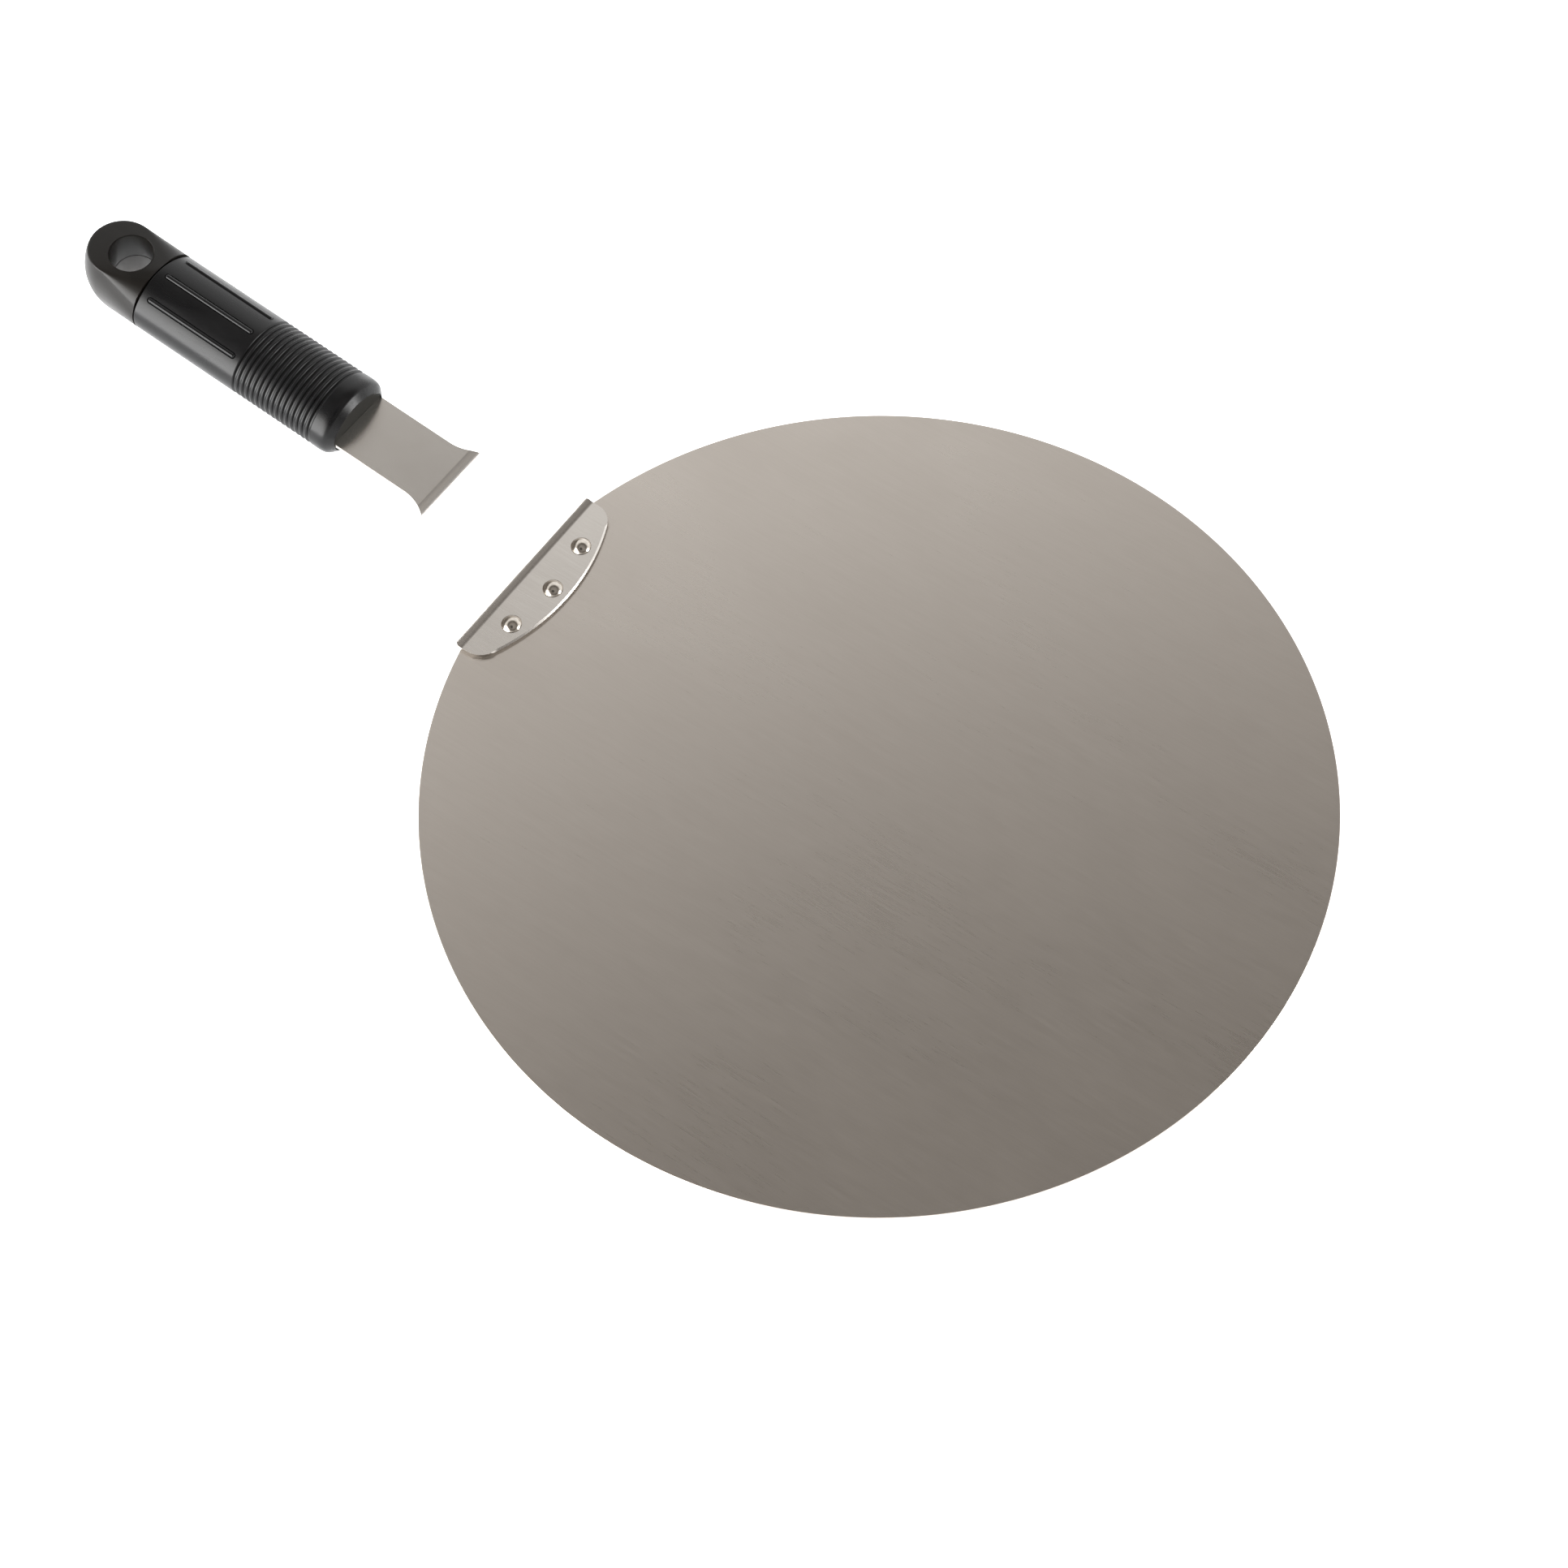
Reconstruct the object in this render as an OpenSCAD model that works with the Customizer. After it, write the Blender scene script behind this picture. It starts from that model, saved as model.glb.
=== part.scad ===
// Round pizza peel: a thin steel plate, a cranked sheet bracket riveted on top of it, and a moulded grip.
// The origin is the centre of the plate's underside. The plate lies on z = 0 and the handle points along -X.

/* [Plate] */
// Diameter of the round plate
plate_d = 305; // [250:1:400]
// Thickness of the plate
plate_t = 1.0; // [0.8:0.1:2]

/* [Bracket sheet] */
// Thickness of the bracket sheet
sheet_t = 1.5; // [1.2:0.1:2.5]
// Distance from the plate's rim to the lower bend, measured inwards along the middle
bend_inset = 3.6; // [2:0.1:10]
// Half the width of the bracket at the lower bend
bend_half_w = 37.2; // [30:0.1:45]
// Depth of the flange that lies on the plate, from the lower bend to its curved edge
flange_depth = 19.1; // [18:0.1:30]
// Radius of the flange's curved edge
flange_r = 76; // [50:1:120]
// Radius of the flange's two corners
flange_corner_r = 8.5; // [6:0.5:11]
// Angle that the flange's sides lean in from the handle's direction
flange_side_angle = 1; // [0:1:10]
// Steepness of the rising part
rise_angle = 48; // [35:1:60]
// Height gained between the two bends, measured at the middle of the sheet
rise_h = 31.9; // [20:0.1:50]
// Upward tilt of the strip and handle
handle_tilt = 7.5; // [0:0.5:15]
// Radius inside each bend
bend_r = 4; // [2:0.5:6]

/* [Neck and strip] */
// Half the width of the strip
strip_half_w = 12.4; // [10:0.1:12.4]
// Distance from the upper bend to the neck's corner, where rise and strip would meet with no curve
neck_past_bend = 3.2; // [0:0.1:6]
// Length of the strip from the upper bend to the handle
strip_len = 39.2; // [30:0.1:80]
// Radius of the concave curve where the neck widens
neck_r = 16; // [8:1:18]
// Half the width of the tang inside the handle
tang_half_w = 8; // [6:0.1:9]
// Length of the tang inside the handle
tang_len = 62; // [50:1:76]
// Radius of the tang's rounded end corners
tang_corner_r = 3; // [1:0.5:5]
// Diameter of the two holes in the tang
tang_hole_d = 6; // [4:0.1:8]
// Distance of the first tang hole from the handle's front
tang_hole_first = 16; // [12:0.5:20]
// Distance between the tang holes
tang_hole_gap = 32; // [20:0.5:36]

/* [Rivets] */
// Diameter of the domed head
rivet_head_d = 7.2; // [6:0.1:9]
// Height of the domed head
rivet_head_h = 2.1; // [1.5:0.1:3]
// Diameter of the shank
rivet_d = 4; // [3:0.1:5]
// Diameter of the flush tail at the plate's underside
rivet_tail_d = 5.6; // [5.4:0.1:7]
// Height of the countersunk tail
rivet_tail_h = 0.8; // [0.5:0.1:0.8]
// Sideways distance from the middle rivet to each outer one
rivet_gap = 19.7; // [15:0.1:25]
// Distance of the middle rivet from the lower bend
rivet_middle_inset = 12.7; // [10:0.1:14]
// Distance of the outer rivets from the lower bend
rivet_outer_inset = 9.9; // [8.5:0.1:12]

/* [Grip] */
// Length of the grip from its front to the cap's seam
grip_len = 87.5; // [80:0.5:120]
// Width of the grip
grip_w = 31.8; // [30:0.1:38]
// Height of the grip
grip_h = 25.2; // [23:0.1:30]
// Radius of the oval grip section at its sides
grip_side_r = 9.8; // [8:0.1:10.8]
// Wall of the grip around its core
grip_wall = 3.2; // [2.5:0.1:3.4]
// Length of the chamfered nose
nose_len = 2.4; // [1:0.1:4]
// How far the nose's widest edge stays inside the grip's full size
nose_step = 0.9; // [0.2:0.1:1.4]
// Length of the smooth collar in front of the finger grooves, with the nose
collar_len = 7.6; // [6:0.1:12]
// Number of finger grooves
groove_count = 16; // [8:1:20]
// Distance from one groove to the next
groove_pitch = 2.2; // [1.8:0.1:2.2]
// Width of a groove
groove_w = 0.9; // [0.6:0.1:1.2]
// Depth of a groove
groove_depth = 0.8; // [0.4:0.1:1.2]

/* [Long ribs] */
// Distance from the last groove to the ribs' front ends
rib_clear = 3.6; // [2:0.1:8]
// Distance from the ribs' rear ends to the cap's seam
rib_rear = 4; // [3:0.1:12]
// Sideways distance of the outer ribs from the middle one
rib_gap = 10; // [8:0.1:11]
// Radius of a rib's rounded crest
rib_r = 0.9; // [0.6:0.1:1.2]
// Height of a rib over the grip
rib_rise = 0.5; // [0.2:0.1:0.8]
// Radius of the shallow slot around a rib
slot_r = 1.6; // [1.4:0.1:2]
// Depth of the slot around a rib
slot_depth = 0.6; // [0.2:0.1:0.8]

/* [End cap] */
// Distance from the seam to the middle of the cap's round end
cap_reach = 17.4; // [17:0.1:30]
// Radius of the cap's round end in plan
cap_end_r = 14.3; // [13:0.1:15.2]
// Half the distance between the cap's flat top and underside
cap_half_t = 11.3; // [10:0.1:12]
// How far the edge of the cap's flat top lies inside its round end
cap_bulge = 2.5; // [1:0.1:4]
// Width of the shadow line at the seam
seam_w = 0.6; // [0.4:0.1:1]
// Depth of the shadow line
seam_depth = 0.9; // [0.5:0.1:1.5]
// Diameter of the hang hole
hang_d = 15.4; // [12:0.1:16]
// Distance from the seam to the hang hole's middle
hang_from_seam = 13.1; // [12.6:0.1:16]
// Chamfer at each end of the hang hole
hang_chamfer = 0.6; // [0.4:0.1:1]
// Length of the core's spigot inside the cap
spigot_len = 3.4; // [3:0.1:3.6]
// Wall of the cap around the spigot
spigot_wall = 4.2; // [3.8:0.1:5]

/* [Clearances] */
// Gap around a rivet in its hole
rivet_clear = 0.05; // [0.02:0.01:0.2]
// Gap between the core and what surrounds it
core_clear = 0.1; // [0.05:0.01:0.2]
// Gap between the tang and its slot
tang_clear = 0.1; // [0.05:0.01:0.2]
// How far the core's face lies behind the grip's front
face_recess = 0.4; // [0.2:0.1:1]

/* [Hidden] */
$fn = 96;
// A cut reaches this far past the surface that it opens
past = 1;
// Steps in one sampled arc
arc_steps = 24;
bend_steps = 10;

// Side view of the sheet's middle line: flange, rise, strip
mid_z = plate_t + sheet_t / 2;
bend_x = plate_d / 2 - bend_inset;
upper_x = bend_x + rise_h / tan(rise_angle);
upper_z = mid_z + rise_h;
front_x = upper_x + strip_len * cos(handle_tilt);
front_z = upper_z + strip_len * sin(handle_tilt);
tang_x = front_x + tang_len * cos(handle_tilt);
tang_z = front_z + tang_len * sin(handle_tilt);
flange_x = bend_x - flange_depth;
bend_mid_r = bend_r + sheet_t / 2;

// Grip section and the places along the grip, measured from its front
grip_a = grip_w / 2;
grip_b = grip_h / 2;
grip_top_r = oval_top_r(grip_a, grip_b, grip_side_r);
groove_last = collar_len + groove_count * groove_pitch;
rib_front = groove_last + rib_clear;
rib_back = grip_len - rib_rear;
cap_middle = grip_len + cap_reach;
hang_x = grip_len + hang_from_seam;

// The cap's top falls evenly from the grip's height at its front to the edge of its flat end
cap_front = grip_len + 2 * seam_w;
cap_flat_end = cap_middle + cap_end_r - cap_bulge;
hang_top = grip_b - (grip_b - cap_half_t) * (hang_x - cap_front) / (cap_flat_end - cap_front);
steel = [0.72, 0.69, 0.65];
black = [0.08, 0.08, 0.08];

// Radius of the flatter arcs of an oval with half-width a, half-height b and side radius r
function oval_top_r(a, b, r) = (pow(a - r, 2) + b * b - r * r) / (2 * (b - r));
// Height of the grip's surface at the sideways place y, on its flatter arc
function grip_z(y) = grip_b - grip_top_r + sqrt(pow(grip_top_r, 2) - y * y);
// Points along an arc
function arc(c, r, from, to, n) =
    [for (i = [0:n]) c + r * [cos(from + (to - from) * i / n), sin(from + (to - from) * i / n)]];
function mirrored(pts) = [for (i = [len(pts) - 1:-1:0]) [pts[i].x, -pts[i].y]];

// Middle line of the sheet, in side view, with its two bends as arcs. x runs towards the handle.
function lower_bend() =
    let (t = bend_mid_r * tan(rise_angle / 2))
    arc([bend_x - t, mid_z + bend_mid_r], bend_mid_r, -90, rise_angle - 90, bend_steps);
function upper_bend() =
    let (turn = rise_angle - handle_tilt, t = bend_mid_r * tan(turn / 2),
         start = [upper_x - t * cos(rise_angle), upper_z - t * sin(rise_angle)],
         c = start + bend_mid_r * [sin(rise_angle), -cos(rise_angle)])
    arc(c, bend_mid_r, 90 + rise_angle, 90 + handle_tilt, bend_steps);
function mid_line() = concat([[flange_x - past, mid_z]], lower_bend(), upper_bend(), [[tang_x, tang_z]]);
function unit(v) = v / norm(v);
function normal_at(p, i) =
    let (a = p[max(i - 1, 0)], b = p[min(i + 1, len(p) - 1)], d = unit(b - a)) [-d.y, d.x];
function side_outline() =
    let (p = mid_line())
    concat([for (i = [0:len(p) - 1]) p[i] + normal_at(p, i) * sheet_t / 2],
           [for (i = [len(p) - 1:-1:0]) p[i] - normal_at(p, i) * sheet_t / 2]);

// Plan view of one side of the sheet, from the flange's curved edge to the tang's end
function flange_half() =
    let (c = [flange_x + flange_r, 0],
         lean = flange_side_angle,
         across = [sin(lean), -cos(lean)],
         // the corner's middle is flange_corner_r inside both the curved edge and the leaning side
         side = [bend_x, bend_half_w] + across * flange_corner_r,
         along = [cos(lean), sin(lean)],
         k = (side - c) * along,
         reach = flange_r - flange_corner_r,
         s = k + sqrt(k * k - (side - c) * (side - c) + reach * reach),
         corner = side - along * s,
         turn = atan2(corner.y - c.y, corner.x - c.x))
    concat(arc(c, flange_r, 180, turn, arc_steps),
           arc(corner, flange_corner_r, turn, 90 + lean, bend_steps));
function neck_half() =
    let (neck_x = upper_x + neck_past_bend,
         slope = atan2(bend_half_w - strip_half_w, neck_x - bend_x),
         c = [neck_x + neck_r * tan(slope / 2), strip_half_w + neck_r])
    arc(c, neck_r, -90 - slope, -90, bend_steps);
function tang_half() =
    // the shoulder's upper edge just meets the core's tilted face
    let (shoulder = front_x + face_recess * cos(handle_tilt) - sheet_t / 2 * sin(handle_tilt))
    concat([[shoulder, strip_half_w], [shoulder, tang_half_w]],
           arc([tang_x - past - tang_corner_r, tang_half_w - tang_corner_r], tang_corner_r, 90, 0, bend_steps));
function plan_half() = concat(flange_half(), [[bend_x, bend_half_w]], neck_half(), tang_half());

// Places of the three rivets on the plate
rivet_middle = [-(bend_x - rivet_middle_inset), 0];
rivet_plus_y = [-(bend_x - rivet_outer_inset), rivet_gap];
rivet_minus_y = [-(bend_x - rivet_outer_inset), -rivet_gap];
rivet_places = [rivet_minus_y, rivet_middle, rivet_plus_y];

// Puts its children in the handle's frame: origin at the grip's front, tail along -X, tilted up
module handle_frame() {
    translate([-front_x, 0, front_z]) rotate([0, handle_tilt, 0]) children();
}

// Oval of four arcs that stays the given distance inside the grip's section. Drawn with its height along x.
module oval(inset) {
    a = grip_a - inset;
    b = grip_b - inset;
    r = grip_side_r - inset;
    top_r = grip_top_r - inset;
    edge = top_r * (a - r) / (top_r - r);
    for (s = [-1, 1]) translate([0, s * (a - r)]) circle(r);
    intersection() {
        translate([b - top_r, 0]) circle(top_r);
        translate([top_r - b, 0]) circle(top_r);
        square([3 * b, 2 * edge], center = true);
    }
}

// Solid along the handle, from one distance behind its front to another, with its children as section
module along_handle(from, to) {
    translate([-from, 0, 0]) rotate([0, -90, 0]) linear_extrude(to - from) children();
}

// Rod with round ends that lies on the grip at the sideways place y and stands proud by rise
module lengthwise_rod(y, r, rise, from, to) {
    tilt = asin(y / grip_top_r);
    translate([0, y, grip_z(y)]) rotate([-tilt, 0, 0]) translate([0, 0, rise - r]) {
        translate([-from, 0, 0]) rotate([0, -90, 0]) cylinder(r = r, h = to - from, $fn = 32);
        for (x = [from, to]) translate([-x, 0, 0]) sphere(r, $fn = 32);
    }
}

// The same rod at each long rib's place, on the grip's top and again on its underside
module rods_at_ribs(r, rise) {
    for (turn = [0, 180], y = [-rib_gap, 0, rib_gap]) rotate([turn, 0, 0])
        lengthwise_rod(y, r, rise, rib_front, rib_back);
}

// Hole through the plate, wider at the plate's underside
module countersunk_hole(d, tail_d) {
    translate([0, 0, -past]) cylinder(d = d, h = plate_t + 2 * past);
    cylinder(d1 = tail_d, d2 = d, h = rivet_tail_h);
    translate([0, 0, -past]) cylinder(d = tail_d, h = past);
}

module plate() {
    color(steel) difference() {
        cylinder(d = plate_d, h = plate_t, $fn = 360);
        for (p = rivet_places) translate(p)
            countersunk_hole(rivet_d + 2 * rivet_clear, rivet_tail_d + 2 * rivet_clear);
    }
}

module bracket() {
    color(steel) difference() {
        mirror([1, 0, 0]) intersection() {
            rotate([90, 0, 0]) linear_extrude(2 * bend_half_w + 2 * past, center = true)
                polygon(side_outline());
            linear_extrude(tang_z + 2 * sheet_t) polygon(concat(plan_half(), mirrored(plan_half())));
        }
        for (p = rivet_places) translate(p) cylinder(d = rivet_d + 2 * rivet_clear, h = mid_z + sheet_t + past);
        handle_frame() for (i = [0, 1]) translate([-tang_hole_first - i * tang_hole_gap, 0, -sheet_t])
            cylinder(d = tang_hole_d, h = 2 * sheet_t);
    }
}

module rivet(place) {
    seat = plate_t + sheet_t;
    dome_r = (pow(rivet_head_d / 2, 2) + pow(rivet_head_h, 2)) / (2 * rivet_head_h);
    color([0.85, 0.83, 0.80]) translate(place) {
        intersection() {
            translate([0, 0, seat + rivet_head_h - dome_r]) sphere(dome_r);
            translate([0, 0, seat]) cylinder(d = rivet_head_d, h = rivet_head_h + past);
        }
        cylinder(d = rivet_d, h = seat);
        cylinder(d1 = rivet_tail_d, d2 = rivet_d, h = rivet_tail_h);
    }
}

module rivet_left() { rivet(rivet_minus_y); }
module rivet_centre() { rivet(rivet_middle); }
module rivet_right() { rivet(rivet_plus_y); }

module handle_core() {
    slot_h = sheet_t + 2 * tang_clear;
    slot_w = 2 * (tang_half_w + tang_clear);
    color([0.13, 0.13, 0.11]) handle_frame() difference() {
        union() {
            along_handle(face_recess, grip_len) oval(grip_wall + core_clear);
            along_handle(grip_len, grip_len + spigot_len) oval(spigot_wall + core_clear);
        }
        difference() {
            along_handle(0, tang_len + tang_clear) square([slot_h, slot_w], center = true);
            for (i = [0, 1]) translate([-tang_hole_first - i * tang_hole_gap, 0, -sheet_t])
                cylinder(d = tang_hole_d - 2 * tang_clear, h = 2 * sheet_t);
        }
    }
}

module grip_sleeve() {
    color(black) handle_frame() difference() {
        union() {
            difference() {
                union() {
                    along_handle(nose_len, collar_len) oval(0);
                    along_handle(collar_len - past, grip_len) oval(0);
                    hull() {
                        along_handle(0, 0.01) oval(grip_wall - 0.2);
                        along_handle(nose_len - 0.01, nose_len) oval(nose_step);
                    }
                }
                for (i = [1:groove_count]) along_handle(
                    collar_len + i * groove_pitch - groove_w, collar_len + i * groove_pitch)
                    difference() {
                        oval(-past);
                        oval(groove_depth);
                    }
                rods_at_ribs(slot_r, 2 * slot_r - slot_depth);
            }
            rods_at_ribs(rib_r, rib_rise);
        }
        along_handle(-past, grip_len + past) oval(grip_wall);
    }
}

// Round end of the cap: a thick disc whose wall swells between its flat top and underside
module cap_disc() {
    wall_r = (pow(cap_half_t, 2) + pow(cap_bulge, 2)) / (2 * cap_bulge);
    half_angle = asin(cap_half_t / wall_r);
    wall = arc([cap_end_r - wall_r, 0], wall_r, -half_angle, half_angle, bend_steps);
    rotate_extrude($fn = 64) polygon(concat([[0, -cap_half_t]], wall, [[0, cap_half_t]]));
}

module end_cap() {
    color(black) handle_frame() difference() {
        union() {
            along_handle(grip_len, grip_len + seam_w + past) oval(seam_depth);
            hull() {
                along_handle(grip_len + seam_w, cap_front) oval(0);
                translate([-cap_middle, 0, 0]) cap_disc();
            }
        }
        along_handle(grip_len - past, grip_len + spigot_len + core_clear) oval(spigot_wall);
        translate([-hang_x, 0, 0]) {
            cylinder(d = hang_d, h = grip_h + 2 * past, center = true);
            for (flip = [0, 1]) mirror([0, 0, flip]) translate([0, 0, hang_top - hang_chamfer])
                cylinder(d1 = hang_d, d2 = hang_d + 2 * (hang_chamfer + past), h = hang_chamfer + past);
        }
    }
}

plate();
bracket();
rivet_left();
rivet_centre();
rivet_right();
handle_core();
grip_sleeve();
end_cap();
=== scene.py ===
import math

import bpy
from mathutils import Matrix, Vector


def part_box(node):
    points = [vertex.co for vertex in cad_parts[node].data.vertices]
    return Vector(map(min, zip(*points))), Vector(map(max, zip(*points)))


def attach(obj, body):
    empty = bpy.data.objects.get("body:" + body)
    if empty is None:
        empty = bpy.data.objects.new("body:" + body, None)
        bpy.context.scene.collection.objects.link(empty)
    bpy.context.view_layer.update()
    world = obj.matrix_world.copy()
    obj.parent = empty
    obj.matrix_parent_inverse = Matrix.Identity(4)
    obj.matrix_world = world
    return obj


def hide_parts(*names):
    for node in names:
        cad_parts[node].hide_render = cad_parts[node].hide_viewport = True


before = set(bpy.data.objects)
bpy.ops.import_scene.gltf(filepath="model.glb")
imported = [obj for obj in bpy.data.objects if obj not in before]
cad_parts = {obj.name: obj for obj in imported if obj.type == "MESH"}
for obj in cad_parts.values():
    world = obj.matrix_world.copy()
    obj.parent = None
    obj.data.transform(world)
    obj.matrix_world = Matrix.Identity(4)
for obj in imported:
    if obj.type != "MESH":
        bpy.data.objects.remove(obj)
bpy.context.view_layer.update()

# Sizes, in metres. The plate is measured on the frame, and the rest repeats the design's values.
MM = 0.001
PLATE_LOW, PLATE_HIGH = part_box("plate")
PLATE_R = PLATE_HIGH.x
PLATE_T = PLATE_HIGH.z - PLATE_LOW.z
PLATE_EDGE = 0.25 * MM

SHEET_T = 1.5 * MM
BEND_U = PLATE_R - 3.6 * MM
BEND_HALF_W = 37.2 * MM
BEND_R = 4.75 * MM
RISE_ANGLE = math.radians(48)
RISE_H = 31.9 * MM
TILT = math.radians(7.5)
SHEET_Z = PLATE_T + SHEET_T / 2
FLANGE_U = BEND_U - 19.1 * MM
FLANGE_R = 76 * MM
FLANGE_CORNER_R = 8.5 * MM
FLANGE_LEAN = math.radians(1)
STRIP_HALF_W = 12.4 * MM
STRIP_LEN = 39.2 * MM
NECK_PAST_BEND = 3.2 * MM
NECK_R = 16 * MM
TANG_HALF_W = 8 * MM
TANG_LEN = 62 * MM
TANG_CORNER_R = 3 * MM
TANG_PLAY = 0.4 * MM
PEG_HOLE_R = 3 * MM
PEG_PLACES = (16 * MM, 48 * MM)
CUT_EDGE = 0.35 * MM
COINED_EDGE = 0.55 * MM

UPPER_U = BEND_U + RISE_H / math.tan(RISE_ANGLE)
FRONT_U = UPPER_U + STRIP_LEN * math.cos(TILT)
FRONT_Z = SHEET_Z + RISE_H + STRIP_LEN * math.sin(TILT)

RIVET_HEAD_R = 3.6 * MM
RIVET_HEAD_H = 2.1 * MM
RIVET_LIP = 0.2 * MM
RIVET_SHANK_R = 2 * MM
RIVET_TAIL_R = 2.8 * MM
RIVET_TAIL_H = 0.8 * MM
RIVET_CLEAR = 0.05 * MM
RIVET_PLACES = {
    "rivet_left": (BEND_U - 9.9 * MM, 19.7 * MM),
    "rivet_centre": (BEND_U - 12.7 * MM, 0),
    "rivet_right": (BEND_U - 9.9 * MM, -19.7 * MM),
}

GRIP_HALF_W = 15.9 * MM
GRIP_HALF_H = 12.6 * MM
GRIP_SIDE_R = 9.8 * MM
GRIP_TOP_R = ((GRIP_HALF_W - GRIP_SIDE_R) ** 2 + GRIP_HALF_H ** 2 - GRIP_SIDE_R ** 2) / (
    2 * (GRIP_HALF_H - GRIP_SIDE_R))
GRIP_LEN = 87.5 * MM
GRIP_WALL = 3.2 * MM
COLLAR_LEN = 7.6 * MM
GROOVES = 16
GROOVE_PITCH = 2.2 * MM
GROOVE_W = 0.9 * MM
RIB_FRONT = COLLAR_LEN + GROOVES * GROOVE_PITCH + 3.6 * MM
RIB_BACK = GRIP_LEN - 4 * MM
RIB_GAP = 10 * MM
RIB_R = 0.9 * MM
RIB_RISE = 0.5 * MM
SLOT_R = 1.6 * MM
SLOT_DEPTH = 0.6 * MM

CAP_MIDDLE = GRIP_LEN + 17.4 * MM
CAP_END_R = 14.3 * MM
CAP_HALF_T = 11.3 * MM
CAP_BULGE = 2.5 * MM
SEAM_W = 0.6 * MM
SEAM_DEPTH = 0.9 * MM
HANG_R = 7.7 * MM
HANG_U = GRIP_LEN + 13.1 * MM
SPIGOT_LEN = 3.5 * MM
SPIGOT_WALL = 4.2 * MM
BORE_TOP = 12.05 * MM
BORE_RIM = 0.5 * MM
BORE_FLARE = 0.15 * MM
BORE_STEP = 0.12 * MM
BORE_PARTING = 0.3 * MM

# How far apart points may lie and count as one, and how near a face or point lies to where it is looked for
SAME = 0.002 * MM
NEAR = 0.02 * MM

# Where a piece that was drawn with its length along +X goes: half a turn for all, and the handle's tilt
TURNED = Matrix.Rotation(math.pi, 4, "Z")
ON_HANDLE = Matrix.Translation((-FRONT_U, 0, FRONT_Z)) @ Matrix.Rotation(TILT, 4, "Y") @ TURNED
ALONG = Vector((1, 0, 0))
ACROSS = Vector((0, 1, 0))
UP = Vector((0, 0, 1))


# ---------------------------------------------------------------- drawing and shaping

def point_at(place, name):
    """Starts a piece as one selected point, in edit mode."""
    bpy.ops.object.select_all(action="DESELECT")
    bpy.ops.mesh.primitive_plane_add(size=MM, location=place)
    piece = bpy.context.object
    piece.name = name
    bpy.ops.object.transform_apply(location=True)
    bpy.ops.object.mode_set(mode="EDIT")
    bpy.ops.mesh.select_mode(type="VERT")
    bpy.ops.mesh.select_all(action="SELECT")
    bpy.ops.mesh.merge(type="CENTER")
    return piece


def draw(name, start, moves):
    """Draws a line of edges. A move is a point to go to, or the centre, axis, angle and steps of a turn."""
    piece = point_at(start, name)
    here = Vector(start)
    for move in moves:
        if len(move) == 3:
            bpy.ops.mesh.extrude_region_move(TRANSFORM_OT_translate={"value": Vector(move) - here})
            here = Vector(move)
        else:
            centre, axis, angle, steps = move
            # the spin operator counts its angle the other way round
            bpy.ops.mesh.spin(steps=steps, angle=-angle, center=centre, axis=axis)
            here = Matrix.Rotation(angle, 3, axis) @ (here - Vector(centre)) + Vector(centre)
    bpy.ops.object.mode_set(mode="OBJECT")
    return piece


def take(piece):
    """Makes a piece the only selected one."""
    bpy.ops.object.select_all(action="DESELECT")
    piece.select_set(True)
    bpy.context.view_layer.objects.active = piece


def edit(piece, select="SELECT"):
    """Enters edit mode with all of the piece's points selected, or none."""
    take(piece)
    bpy.ops.object.mode_set(mode="EDIT")
    bpy.ops.mesh.select_mode(type="VERT")
    bpy.ops.mesh.select_all(action=select)


def leave():
    bpy.ops.object.mode_set(mode="OBJECT")


def pick_faces(piece, wanted):
    """In edit mode, selects the faces for which wanted(centre, normal) is true."""
    bpy.ops.mesh.select_mode(type="FACE")
    bpy.ops.mesh.select_all(action="DESELECT")
    leave()
    for face in piece.data.polygons:
        face.select = bool(wanted(face.center, face.normal))
    bpy.ops.object.mode_set(mode="EDIT")


def modify(piece, kind, **settings):
    """Adds a modifier and applies it."""
    take(piece)
    step = piece.modifiers.new(kind, kind)
    for name, value in settings.items():
        setattr(step, name, value)
    bpy.ops.object.modifier_apply(modifier=step.name)


def combine(piece, other, operation):
    """Cuts, keeps or joins a piece with another, which is used up."""
    modify(piece, "BOOLEAN", object=other, operation=operation, solver="EXACT")
    bpy.data.objects.remove(other)


def mirror_closed(piece, across_y=True, across_z=False):
    """Mirrors a half or a quarter of an outline and joins it where it meets."""
    modify(piece, "MIRROR", use_axis=(False, across_y, across_z), merge_threshold=0.01 * MM)


def tidy_faces(piece):
    """Merges points that fell together and turns all faces outwards."""
    edit(piece)
    bpy.ops.mesh.remove_doubles(threshold=SAME)
    bpy.ops.mesh.normals_make_consistent(inside=False)
    leave()


def fill_and_pull(piece, way):
    """Fills a closed outline with a face and pulls it into a solid."""
    edit(piece)
    bpy.ops.mesh.edge_face_add()
    bpy.ops.mesh.extrude_region_move(TRANSFORM_OT_translate={"value": way})
    leave()
    tidy_faces(piece)


def lathe(name, start, moves, middle, axis, steps=48):
    """Turns a drawn profile once round an axis."""
    piece = draw(name, start, moves)
    edit(piece)
    bpy.ops.mesh.spin(steps=steps, angle=math.tau, center=middle, axis=axis)
    leave()
    tidy_faces(piece)
    return piece


def put(piece, matrix):
    """Moves a drawn piece to its place, and leaves its object at the origin."""
    take(piece)
    piece.matrix_world = matrix
    bpy.ops.object.transform_apply(location=True, rotation=True, scale=True)


def hand_over(piece, node, smooth_angle=math.radians(32)):
    """Smooths a finished piece's shading, hangs it on the root body and hides the CAD part it replaces."""
    take(piece)
    bpy.ops.object.shade_smooth_by_angle(angle=smooth_angle)
    modify(piece, "WEIGHTED_NORMAL", keep_sharp=True, weight=80)
    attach(piece, "root")
    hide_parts(node)


# ---------------------------------------------------------------- finishes

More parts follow.
